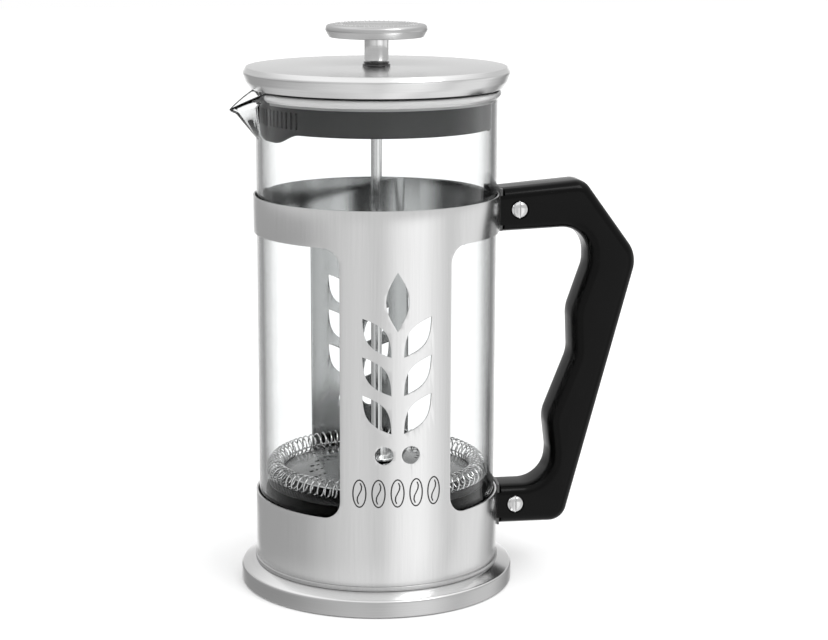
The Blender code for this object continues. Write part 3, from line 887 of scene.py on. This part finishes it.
        # Its upward faces take the lighter lapped steel: painted light on the foot's top, which
        # faces the light above.
        refinish(ring, SPUN_STEEL, lambda face: face.normal.z > 0.6)
        pad = turned("foot_pad", [(0.0, 2.2), (53.2, 2.2), (53.4, 2.0), (53.4, 0.5), (52.9, 0.0),
                                  (46.0, 0.0), (45.4, 0.5), (42.0, 0.5), (41.4, 0.0), (0.0, 0.0)])
        hand_over(pad, "frame", "rubber", FOOT_RUBBER, "base_pad")

    def seat(self) -> None:
        """Turn the seat with its thin lining, then raise a tab behind each panel; the black lining
        and tabs are painted shade for the closed space below the filter.
        """
        inner, outer = self.seat_wall
        corner = arc((39.7, 20.7), 8.15, -90.0, 0.0, 10)
        piece = turned("seat_cup", [(0.0, 12.45)] + corner + [
            (inner, self.seat_wall_top - 6.0), (inner, self.seat_wall_top),
            (outer, self.seat_wall_top), (outer, self.seat_wall_top - 6.0), (outer, self.bottom),
            (0.0, self.bottom)])

        def raise_tab(spot: Vector) -> Vector:
            """Lift the wall's top edge behind the panels, where its black is painted shade."""
            if spot.z > self.seat_wall_top - 0.5:
                half = self.seat_tab_half_deg
                lift = fade(abs(90.0 - from_spout(spot)), half, half + self.seat_tab_fade_deg)
                spot.z += (self.seat_tab_top - self.seat_wall_top) * lift
            return spot

        reshape(piece, raise_tab)
        hand_over(settle(piece), "frame", "black_nylon", SEAT_SHADE_BLACK, "beaker_seat")


# ---- The handle and what holds it ----

@dataclass
class Handle:
    """Moulded handle, its brackets, screws and barrel nuts."""

    thick: float = 18.0
    edge: float = 4.5
    root_r: float = 49.3
    screws: tuple[tuple[str, float, float], ...] = (("upper", 56.4, 151.4), ("lower", 56.2, 29.6))
    head_r: float = 3.5
    head_room: float = 0.25
    slot_start: float = 45.0
    slot_size: tuple[float, float] = (2.8, 12.6)
    slot_room: float = 0.3
    pocket_x: float = 47.2
    pocket_size: Corner = (6.4, 17.3, 16.2)
    head_depth: float = 1.3

    def build(self) -> None:
        """Build the grip, then the fasteners at both roots."""
        self.grip()
        for place, x, z in self.screws:
            self.fasteners(place, x, z)
            dress(f"{place}_bracket", BRACKET_STEEL)

    def grip(self) -> None:
        """Extrude the outline with round edges, then cut its roots, slots and screw holes."""
        outline = filleted([
            (44.0, 159.5, 0.0), (83.4, 162.7, 7.0), (106.3, 131.3, 13.0), (76.9, 20.9, 7.5),
            (44.0, 21.2, 0.0), (44.0, 37.5, 0.0), (70.6, 37.4, 11.5), (71.2, 51.0, 10.0),
            (69.5, 65.0, 14.0), (79.8, 91.0, 14.0), (79.0, 109.0, 16.0), (85.6, 128.0, 12.0),
            (85.4, 143.8, 11.0), (44.0, 142.2, 0.0)], 12)
        piece = flat("grip", [outline], self.thick, self.edge, 6)
        piece.rotation_euler.x = math.pi / 2.0
        settle(piece)
        cut(piece, [drill((0.0, 0.0, 90.0), self.root_r, 180.0, 192)])
        for place, x, z in self.screws:
            slot_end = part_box(f"{place}_bracket")[1].x / MM + self.slot_room
            slot = block(((self.slot_start + slot_end) / 2.0, 0.0, z),
                         (slot_end - self.slot_start, *self.slot_size))
            cut(piece, [slot, block((self.pocket_x, 0.0, z), self.pocket_size)])
            for side in (-1.0, 1.0):
                depth = self.thick / 2.0 - self.head_depth
                cut(piece, [drill((x, side * (depth + 5.0), z), self.head_r + self.head_room,
                                  10.0, 40, (math.pi / 2.0, 0.0, 0.0))])
        hand_over(settle(piece, 32.0), "frame", "black_handle", HANDLE_PLASTIC, "handle")

    def fasteners(self, place: str, x: float, z: float) -> None:
        """Slotted screw from the front, round nut from the back.

        Args:
            place: upper or lower.
            x: Where the screw's axis is.
            z: Its height.
        """
        head = self.thick / 2.0
        screw = turned(f"{place}_screw", [
            (0.0, head + 1.0), (1.2, head + 0.95), (2.2, head + 0.7), (3.0, head + 0.25),
            (3.4, head - 0.2), (self.head_r, head - 0.5), (self.head_r, head - 1.2),
            (1.7, head - 1.2), (1.7, -5.0), (0.0, -5.0)], SMALL_STEPS)
        cut(screw, [block((0.0, 0.0, head + 1.0), (0.6, 9.0, 2.6))])
        lay_along_y(screw, x, z, -1.0)
        hand_over(settle(screw, 30.0), "frame", "bright_steel", BRIGHT_STEEL,
                  f"{place}_handle_screw")
        nut = turned(f"{place}_nut", [
            (0.0, head + 0.9), (1.3, head + 0.82), (2.5, head + 0.6), (3.2, head + 0.2),
            (self.head_r, head - 0.2), (self.head_r, head - 1.2), (2.3, head - 1.2), (2.3, 1.6),
            (2.0, 1.6), (2.0, head - 2.0), (0.0, head - 2.0)], SMALL_STEPS)
        lay_along_y(nut, x, z, 1.0)
        hand_over(settle(nut, 30.0), "frame", "bright_steel", BRIGHT_STEEL, f"{place}_barrel_nut")


# ---- The glass ----

@dataclass
class Beaker:
    """Straight-sided glass with a fire-rounded bead and a drawn spout."""

    outer_r: float = 47.7
    wall: float = 2.2
    bottom: float = 12.7
    floor: float = 2.6
    corner: float = 8.0
    rim_r: float = 49.16
    rim_top: float = 199.6
    spout_bottom: float = 181.0
    spout_reach: float = 9.4
    spout_droop: float = 6.8
    spout_half_deg: float = 17.0
    lip_half_deg: float = 19.0
    row_step: float = 0.9
    rows: int = 17

    def build(self) -> None:
        """Turn the wall, then draw out the lip."""
        inner = self.outer_r - self.wall
        floor = self.bottom + self.floor
        inside_corner = self.corner - self.wall
        rows = [self.spout_bottom + self.row_step * i for i in range(self.rows)]
        profile = [(0.0, floor)]
        profile += arc((inner - inside_corner, floor + inside_corner), inside_corner, -90.0, 0.0, 8)
        profile += [(inner, height) for height in rows]
        profile += [(inner, 197.0), (inner + 0.12, 198.0), (inner + 0.5, 198.9),
                    (inner + 1.1, 199.4), (inner + 1.8, self.rim_top),
                    (self.rim_r - 1.1, self.rim_top), (self.rim_r - 0.4, 199.25),
                    (self.rim_r, 198.5), (self.rim_r - 0.1, 197.8), (self.rim_r - 0.6, 197.1),
                    (self.outer_r + 0.15, 196.5), (self.outer_r, 195.9)]
        profile += [(self.outer_r, height) for height in reversed(rows) if height < 195.5]
        profile += arc((self.outer_r - self.corner, self.bottom + self.corner), self.corner,
                       0.0, -90.0, 10)
        profile += [(0.0, self.bottom)]
        piece = turned("glass_beaker", profile, 240, 60.0)
        rim = {face.index for face in piece.data.polygons if face.center.z > 196.2 * MM
               and from_spout(face.center) > self.lip_half_deg}
        reshape(piece, self.draw_out)
        hand_over(settle(piece, 60.0), "beaker_body", "clear_glass", BEAKER_GLASS, "beaker")
        # The rim takes the half white glass: painted highlight.
        refinish(piece, RIM_GLASS, lambda face: face.index in rim)

    def draw_out(self, spot: Vector) -> Vector:
        """Pull a point of the lip outwards and down, most at the spout's middle.

        Args:
            spot: A point of the turned glass.

        Returns:
            Where the point goes.
        """
        rise = (spot.z - self.spout_bottom) / (self.rim_top - self.spout_bottom)
        off = from_spout(spot) / self.spout_half_deg
        radius = spot.xy.length
        if rise <= 0.0 or off >= 1.0 or radius < 40.0:
            return spot
        pull = rise * (1.0 - off) ** 1.15
        spot.xy *= (radius + self.spout_reach * pull) / radius
        spot.z -= self.spout_droop * pull
        return spot


# ---- The lid ----

@dataclass
class Lid:
    """Spun shell, the plate under it and the strainer that reaches into the glass."""

    shell_r: float = 52.5
    top: float = 208.6
    insert_r: float = 45.0
    insert_wall: float = 1.6
    insert_bottom: float = 185.1
    slots: int = 24
    slot_pitch_deg: float = 3.4
    slot_size: Corner = (5.0, 1.1, 6.4)
    slot_z: float = 190.4
    deep_below: float = 190.0
    lobe: Corner = (4.0, 22.0, 40.0)          # drop, degrees at which it fades and is gone
    tab: Corner = (1.8, 14.0, 22.0)

    def build(self) -> None:
        """Build the shell and the strainer, and dress the plate."""
        shell = turned("lid_cover", filleted([
            (3.7, self.top, 0.2), (51.3, self.top, 0.35), (self.shell_r + 0.15, 206.5, 1.3),
            (51.4, 203.0, 3.0), (49.7, 200.4, 0.35), (48.9, 200.4, 0.2), (50.6, 203.2, 2.0),
            (51.6, 206.3, 0.6), (50.7, 207.6, 0.8), (3.7, 207.7, 0.0)], 6))
        hand_over(shell, "lid_body", "satin_steel", SPUN_STEEL, "lid_shell")
        dress("lid_plate", PLAIN_STEEL)
        self.strainer()

    def strainer(self) -> None:
        """Turn the ring, deepen it at spout and handle, and cut the comb."""
        inner = self.insert_r - self.insert_wall
        piece = turned("strainer_ring", filleted([
            (inner, 201.9, 0.3), (48.2, 201.9, 0.3), (48.2, 200.4, 0.3),
            (self.insert_r, 200.4, 0.5), (self.insert_r, self.insert_bottom, 0.5),
            (inner, self.insert_bottom, 0.5)], 3))

        def deepen(spot: Vector) -> Vector:
            """Lower the ring's bottom edge towards the spout and the handle."""
            if spot.z < self.deep_below:
                off = from_spout(spot)
                for drop, start, end, away in ((*self.lobe, off), (*self.tab, 180.0 - off)):
                    spot.z -= drop * fade(away, start, end)
            return spot

        reshape(piece, deepen)
        slots = []
        for i in range(self.slots):
            turn = math.radians((i - (self.slots - 1) / 2.0) * self.slot_pitch_deg)
            middle = on_circle(-(self.insert_r - self.insert_wall / 2.0), turn, self.slot_z)
            slots.append(block(middle, self.slot_size, turn))
        cut(piece, slots)
        hand_over(settle(piece, 30.0), "lid_body", "dark_nylon", NYLON_GREY, "strainer_insert")


# ---- The plunger ----

@dataclass
class Plunger:
    """Bush, rod, stem and knob, with a beaded band on the knob's top."""

    knob_r: float = 19.9
    knob_top: float = 225.0
    rod_r: float = 2.2
    stem_r: float = 4.77
    beads: int = 54
    bead_r: float = 0.5
    bead_rows: tuple[float, ...] = (14.45, 16.35)

    def build(self) -> None:
        """Build each turned piece and dress the nut."""
        bush = turned("rod_bush", filleted([
            (2.35, 210.4, 0.2), (5.1, 210.4, 0.3), (5.1, 209.85, 0.15), (4.7, 209.7, 0.05),
            (4.7, 209.55, 0.05), (5.5, 209.4, 0.3), (5.5, 208.7, 0.15), (3.4, 208.7, 0.0),
            (3.4, 198.6, 0.3), (2.35, 198.6, 0.2)], 4), SMALL_STEPS)
        hand_over(bush, "bush_body", "black_nylon", BUSH_GREY, "guide_bush")
        dress("bush_nut", PLAIN_STEEL)
        self.knob()
        rod_low, rod_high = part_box("plunger_rod")
        low, high = rod_low.z / MM, rod_high.z / MM
        rod = turned("rod", [(0.0, high), (self.rod_r - 0.3, high), (self.rod_r, high - 0.3),
                             (self.rod_r, low + 0.3), (self.rod_r - 0.3, low), (0.0, low)],
                     SMALL_STEPS)
        hand_over(rod, "plunger_body", "bright_steel", BRIGHT_STEEL, "plunger_rod")

    def knob(self) -> None:
        """Turn the cap, its base and stem, and set the beads into the cap's top."""
        r, top = self.knob_r, self.knob_top
        cap = turned("knob_disc", [(0.0, top - 0.5), (12.3, top - 0.6), (12.8, top - 0.5),
                                   (13.3, top - 0.2)]
                     + arc((15.5, top - 4.9), 4.9, 100.0, 80.0, 4)
                     + filleted([(17.6, top - 0.1, 0.0), (r - 0.2, top - 0.35, 1.3),
                                 (r + 0.15, top - 2.4, 1.2), (18.5, top - 5.1, 0.5),
                                 (17.8, top - 5.1, 0.2), (17.8, top - 3.2, 0.0)], 5)
                     + [(3.3, top - 3.2), (3.3, top - 1.7), (0.0, top - 1.7)], 128)
        beads = [cap]
        for row, row_r in enumerate(self.bead_rows):
            for i in range(self.beads):
                turn = math.tau * (i + row / 2.0) / self.beads
                bpy.ops.mesh.primitive_uv_sphere_add(
                    segments=10, ring_count=6, radius=self.bead_r * MM,
                    location=on_circle(row_r, turn, top - self.bead_r / 2.0) * MM)
                beads.append(bpy.context.object)
        select_only(*beads)
        bpy.ops.object.join()
        hand_over(settle(cap, 35.0), "plunger_body", "satin_steel", FOOT_STEEL, "knob_cap")
        base = turned("knob_underside", filleted([
            (3.3, top - 3.9, 0.0), (17.5, top - 3.9, 0.2), (17.5, top - 5.0, 0.3),
            (3.3, top - 5.0, 0.0)], 3), 96)
        hand_over(base, "plunger_body", "bright_steel", BRIGHT_STEEL, "knob_base")
        stem = turned("knob_neck", [(0.0, 222.9), (3.0, 222.9), (3.0, 219.9), (5.0, 219.9),
                                    (self.stem_r, 219.6), (self.stem_r, 219.0),
                                    (self.stem_r, 211.2), (4.6, 210.75), (4.3, 210.6),
                                    (2.5, 210.6), (2.5, 217.5), (0.0, 217.5)], SMALL_STEPS)
        hand_over(stem, "plunger_body", "bright_steel", NECK_STEEL, "knob_stem")


# ---- The filter ----

@dataclass
class FilterPack:
    """Hub, domed plate with its holes, edge spring, wire cloth, lower plate and nut."""

    coil_r: float = 41.3
    coil_turn_r: float = 3.5
    coil_z: float = 47.3
    wire_r: float = 0.33
    coil_turns: int = 86
    points_per_turn: int = 14
    plate_r: float = 37.0
    hole_groups: int = 26
    hole_radii: Corner = (0.65, 0.65, 0.95)
    hole_pitch: float = 2.3
    hole_range: tuple[float, float] = (16.5, 27.0)
    spoke_gaps: int = 6
    gap_r: float = 9.0
    gap_circle_r: float = 24.5

    def build(self) -> None:
        """Build the pack from its top down."""
        hub = turned("hub", filleted([
            (2.35, 56.0, 0.2), (5.0, 56.0, 0.5), (5.0, 51.3, 0.6), (8.6, 51.0, 0.4),
            (8.6, 50.0, 0.2), (2.35, 50.0, 0.0)], 4), SMALL_STEPS)
        hand_over(hub, "filter_body", "bright_steel", BRIGHT_STEEL, "hub_nut")
        self.domed_plate()
        self.spring()
        dress("filter_spacer", PLAIN_STEEL)
        self.wire_cloth()
        self.lower_plate()
        dress("filter_nut", PLAIN_STEEL)

    def domed_plate(self) -> None:
        """Turn the dome and drill its holes, three to a group, winding outwards."""
        top = [(3.2, 49.6), (9.2, 49.6), (10.8, 49.45), (22.0, 47.95), (33.0, 46.3), (34.2, 46.1),
               (35.7, 46.0), (self.plate_r, 45.75)]
        under = [(self.plate_r - 0.15, 45.3)] + [(r, z - 0.7) for r, z in reversed(top[:-1])]
        piece = turned("domed_plate", top + under)
        holes = []
        nearest, farthest = self.hole_range
        for group in range(self.hole_groups):
            turn = math.tau * group / self.hole_groups
            share = (group * 5) % self.hole_groups / self.hole_groups
            start = nearest + (farthest - nearest) * share
            for i, radius in enumerate(self.hole_radii):
                spot = on_circle(start + self.hole_pitch * i, turn, 48.0)
                holes.append(drill(spot, radius, 8.0, 14))
        cut(piece, holes)
        hand_over(settle(piece, 30.0), "filter_body", "bright_steel", PLATE_STEEL, "spiral_plate")

    def spring(self) -> None:
        """Wind the long spring round the plate's edge, with a thin hoop inside its turns."""
        curve = bpy.data.curves.new("edge_coil", "CURVE")
        curve.dimensions = "3D"
        curve.bevel_depth = self.wire_r * MM
        curve.bevel_resolution = 1
        count = self.coil_turns * self.points_per_turn
        spline = curve.splines.new("POLY")
        spline.points.add(count - 1)
        for i, point in enumerate(spline.points):
            around = math.tau * i / count
            turn = around * self.coil_turns
            spot = on_circle(self.coil_r + self.coil_turn_r * math.cos(turn), around,
                             self.coil_z + self.coil_turn_r * math.sin(turn))
            point.co = (*(spot * MM), 1.0)
        spline.use_cyclic_u = True
        piece = curve_piece("edge_coil", curve)
        hand_over(settle(piece, 60.0), "filter_body", "bright_steel", SPRING_WIRE, "edge_spring")
        hoop = turned("coil_hoop", circle((self.coil_r - 2.5, self.coil_z - 0.6), 0.3, 10),
                      TURN_STEPS, 60.0)
        hand_over(hoop, "filter_body", "bright_steel", SPRING_WIRE)

    def wire_cloth(self) -> None:
        """Turn the thin cloth, its edge turned down a little."""
        piece = turned("filter_cloth", [(3.2, 42.1), (42.6, 42.1), (43.5, 41.95), (43.8, 41.6),
                                        (43.5, 41.6), (42.6, 41.75), (3.2, 41.75)])
        hand_over(piece, "filter_body", "wire_mesh", WIRE_CLOTH, "mesh_screen")

    def lower_plate(self) -> None:
        """Turn the lower plate and open it between its six spokes."""
        piece = turned("spoked_plate", filleted([
            (3.2, 41.3, 0.0), (41.0, 41.3, 0.3), (41.0, 40.3, 0.3), (3.2, 40.3, 0.0)], 3))
        cut(piece, [drill(on_circle(self.gap_circle_r, math.tau * i / self.spoke_gaps, 41.0),
                          self.gap_r, 4.0, 40) for i in range(self.spoke_gaps)])
        hand_over(settle(piece, 30.0), "filter_body", "bright_steel", BRACKET_STEEL, "cross_plate")


# ---- The studio ----

@dataclass
class Studio:
    """White floor, soft surround, a skylight, one softbox and the camera.

    levels gives the surround's brightness by its direction in degrees, counted from the camera
    towards the handle's side. zones then changes it by height: from the first height to the
    second, the share in the third place goes over to the brightness in the fourth. The heights
    are the upward part of the direction, 0 at the horizon and 1 overhead.
    """

    floor_size: float = 8.0
    sky_lean_deg: float = 14.0
    sky_width_deg: float = 75.0
    sky_power: float = 1.0
    aim_height: float = 0.11
    camera_away: float = 0.8308
    camera_height: float = 0.2794
    camera_turn_deg: float = -9.6
    camera_dip_deg: float = 11.74
    lens: float = 91.79
    shift: float = 0.04536
    zones: tuple[tuple[float, float, float, float], ...] = (
        (-0.35, -0.7, 0.5, 1.0), (0.0, 0.11, 1.0, 0.7), (0.35, 0.78, 1.0, 1.2),
        (0.88, 0.98, 1.0, 0.85))
    through: float = 1.15         # brightness seen straight through clear glass
    full: float = 1.45            # brightest level that the colour ramp can give
    levels: tuple[tuple[float, float], ...] = (
        (-180.0, 1.2), (-167.0, 1.2), (-151.0, 0.4), (-110.0, 0.42), (-75.0, 0.45),
        (-54.0, 0.6), (-34.0, 0.73), (-15.0, 0.83), (3.0, 0.69), (21.0, 1.1), (42.0, 1.24),
        (58.0, 0.98), (72.0, 0.7), (88.0, 0.92), (114.0, 0.95), (129.0, 0.6), (151.0, 0.3),
        (167.0, 1.2), (180.0, 1.2))

    def build(self) -> None:
        """Set up the floor, the surround, the lights and the camera."""
        self.floor()
        self.surround()
        self.skylight()
        self.softbox("key_softbox", place=(0.5, -0.7, 1.0), size=0.5, power=3.0)
        self.camera()
        bpy.context.scene.view_settings.view_transform = "Standard"

    def floor(self) -> None:
        """Lay a wide white floor, which metal and glass don't see: they mirror the surround."""
        bpy.ops.mesh.primitive_grid_add(x_subdivisions=4, y_subdivisions=4, size=self.floor_size)
        piece = bpy.context.object
        piece.name = "floor"
        piece.visible_glossy = False
        piece.visible_transmission = False
        paint = bpy.data.materials.new("matt_white_floor")
        paint.use_nodes = True
        shader = paint.node_tree.nodes["Principled BSDF"]
        shader.inputs["Base Color"].default_value = linear("#f7f7f7")
        shader.inputs["Roughness"].default_value = 1.0
        shader.inputs["Specular IOR Level"].default_value = 0.0
        piece.data.materials.append(paint)

    def surround(self) -> None:
        """Light the object from a soft surround, which metal and glass mirror."""
        world = bpy.data.worlds.new("soft_surround")
        bpy.context.scene.world = world
        world.use_nodes = True
        tree = world.node_tree
        direction = add_node(tree, "ShaderNodeTexCoord").outputs["Generated"]
        faced = add_node(tree, "ShaderNodeMapping",
                         {"Rotation": (0.0, 0.0, math.radians(90.0 - self.camera_turn_deg))},
                         {"Vector": direction})
        around = add_node(tree, "ShaderNodeTexGradient", {"gradient_type": "RADIAL"},
                          {"Vector": faced.outputs["Vector"]})
        ramp = add_node(tree, "ShaderNodeValToRGB", {}, {"Fac": around.outputs["Fac"]})
        ramp.color_ramp.interpolation = "EASE"
        stops = ramp.color_ramp.elements
        while len(stops) < len(self.levels):
            stops.new(0.5)
        for stop, (degrees, level) in zip(stops, self.levels):
            stop.position = 0.5 + degrees / 360.0
            stop.color = (level / self.full,) * 3 + (1.0,)
        low = add_node(tree, "ShaderNodeMath", {"operation": "MULTIPLY", 1: self.full},
                       {0: ramp.outputs["Color"]})
        height = add_node(tree, "ShaderNodeSeparateXYZ", {}, {0: direction}).outputs["Z"]
        level = low.outputs["Value"]
        for start, end, share, light in self.zones:
            zone = add_node(tree, "ShaderNodeMapRange",
                            {"interpolation_type": "SMOOTHSTEP", "From Min": start,
                             "From Max": end, "To Max": share}, {"Value": height})
            level = add_node(tree, "ShaderNodeMix", {"B": light},
                             {0: zone.outputs["Result"], "A": level}).outputs["Result"]
        path = add_node(tree, "ShaderNodeLightPath")
        mirrored = add_node(tree, "ShaderNodeMath", {"operation": "LESS_THAN", 1: 0.5},
                            {0: path.outputs["Glossy Depth"]})
        straight = add_node(tree, "ShaderNodeMath", {"operation": "MULTIPLY"},
                            {0: path.outputs["Is Transmission Ray"],
                             1: mirrored.outputs["Value"]})
        cleared = add_node(tree, "ShaderNodeMix", {"B": self.through},
                           {0: straight.outputs["Value"], "A": level})
        shown = add_node(tree, "ShaderNodeMix", {"B": 1.0},
                         {0: path.outputs["Is Camera Ray"], "A": cleared.outputs["Result"]})
        tree.links.new(shown.outputs["Result"], tree.nodes["Background"].inputs["Strength"])
        tree.nodes["Background"].inputs["Color"].default_value = linear("#ffffff")

    def skylight(self) -> None:
        """Hang a very broad light overhead, whose shadows are only a soft grey at the foot."""
        lean = math.radians(self.sky_lean_deg)
        bpy.ops.object.light_add(type="SUN", rotation=(lean, lean, 0.0))
        lamp = bpy.context.object
        lamp.name = "broad_skylight"
        lamp.visible_glossy = False
        lamp.data.angle = math.radians(self.sky_width_deg)
        lamp.data.energy = self.sky_power

    def softbox(self, name: str, place: Sequence[float], size: float, power: float) -> None:
        """Add a square softbox that faces the object.

        Args:
            name: The light's name.
            place: Where it hangs, in metres.
            size: Its side, in metres.
            power: Its power, in watts.
        """
        bpy.ops.object.light_add(type="AREA", location=place)
        lamp = bpy.context.object
        lamp.name = name
        lamp.data.size = size
        lamp.data.energy = power
        aim = Vector((0.0, 0.0, self.aim_height)) - Vector(place)
        lamp.rotation_euler = aim.to_track_quat("-Z", "Y").to_euler()

    def camera(self) -> None:
        """Stand the camera in front, a little to the spout's side and above the lid."""
        turn = math.radians(self.camera_turn_deg)
        bpy.ops.object.camera_add(
            location=(self.camera_away * math.sin(turn), -self.camera_away * math.cos(turn),
                      self.camera_height),
            rotation=(math.radians(90.0 - self.camera_dip_deg), 0.0, turn))
        camera = bpy.context.object
        camera.data.lens = self.lens
        camera.data.shift_x = self.shift
        camera.data.clip_start = 0.01
        bpy.context.scene.camera = camera


def main() -> None:
    """Build the press from the foot up, then the studio."""
    logging.basicConfig(level=logging.INFO, format="%(name)s: %(message)s")
    bpy.ops.object.select_all(action="DESELECT")
    for assembly in (SteelFrame(), Handle(), Beaker(), Lid(), Plunger(), FilterPack(), Studio()):
        assembly.build()
        log.info("%s is done", type(assembly).__name__)


if __name__ == "__main__":
    main()
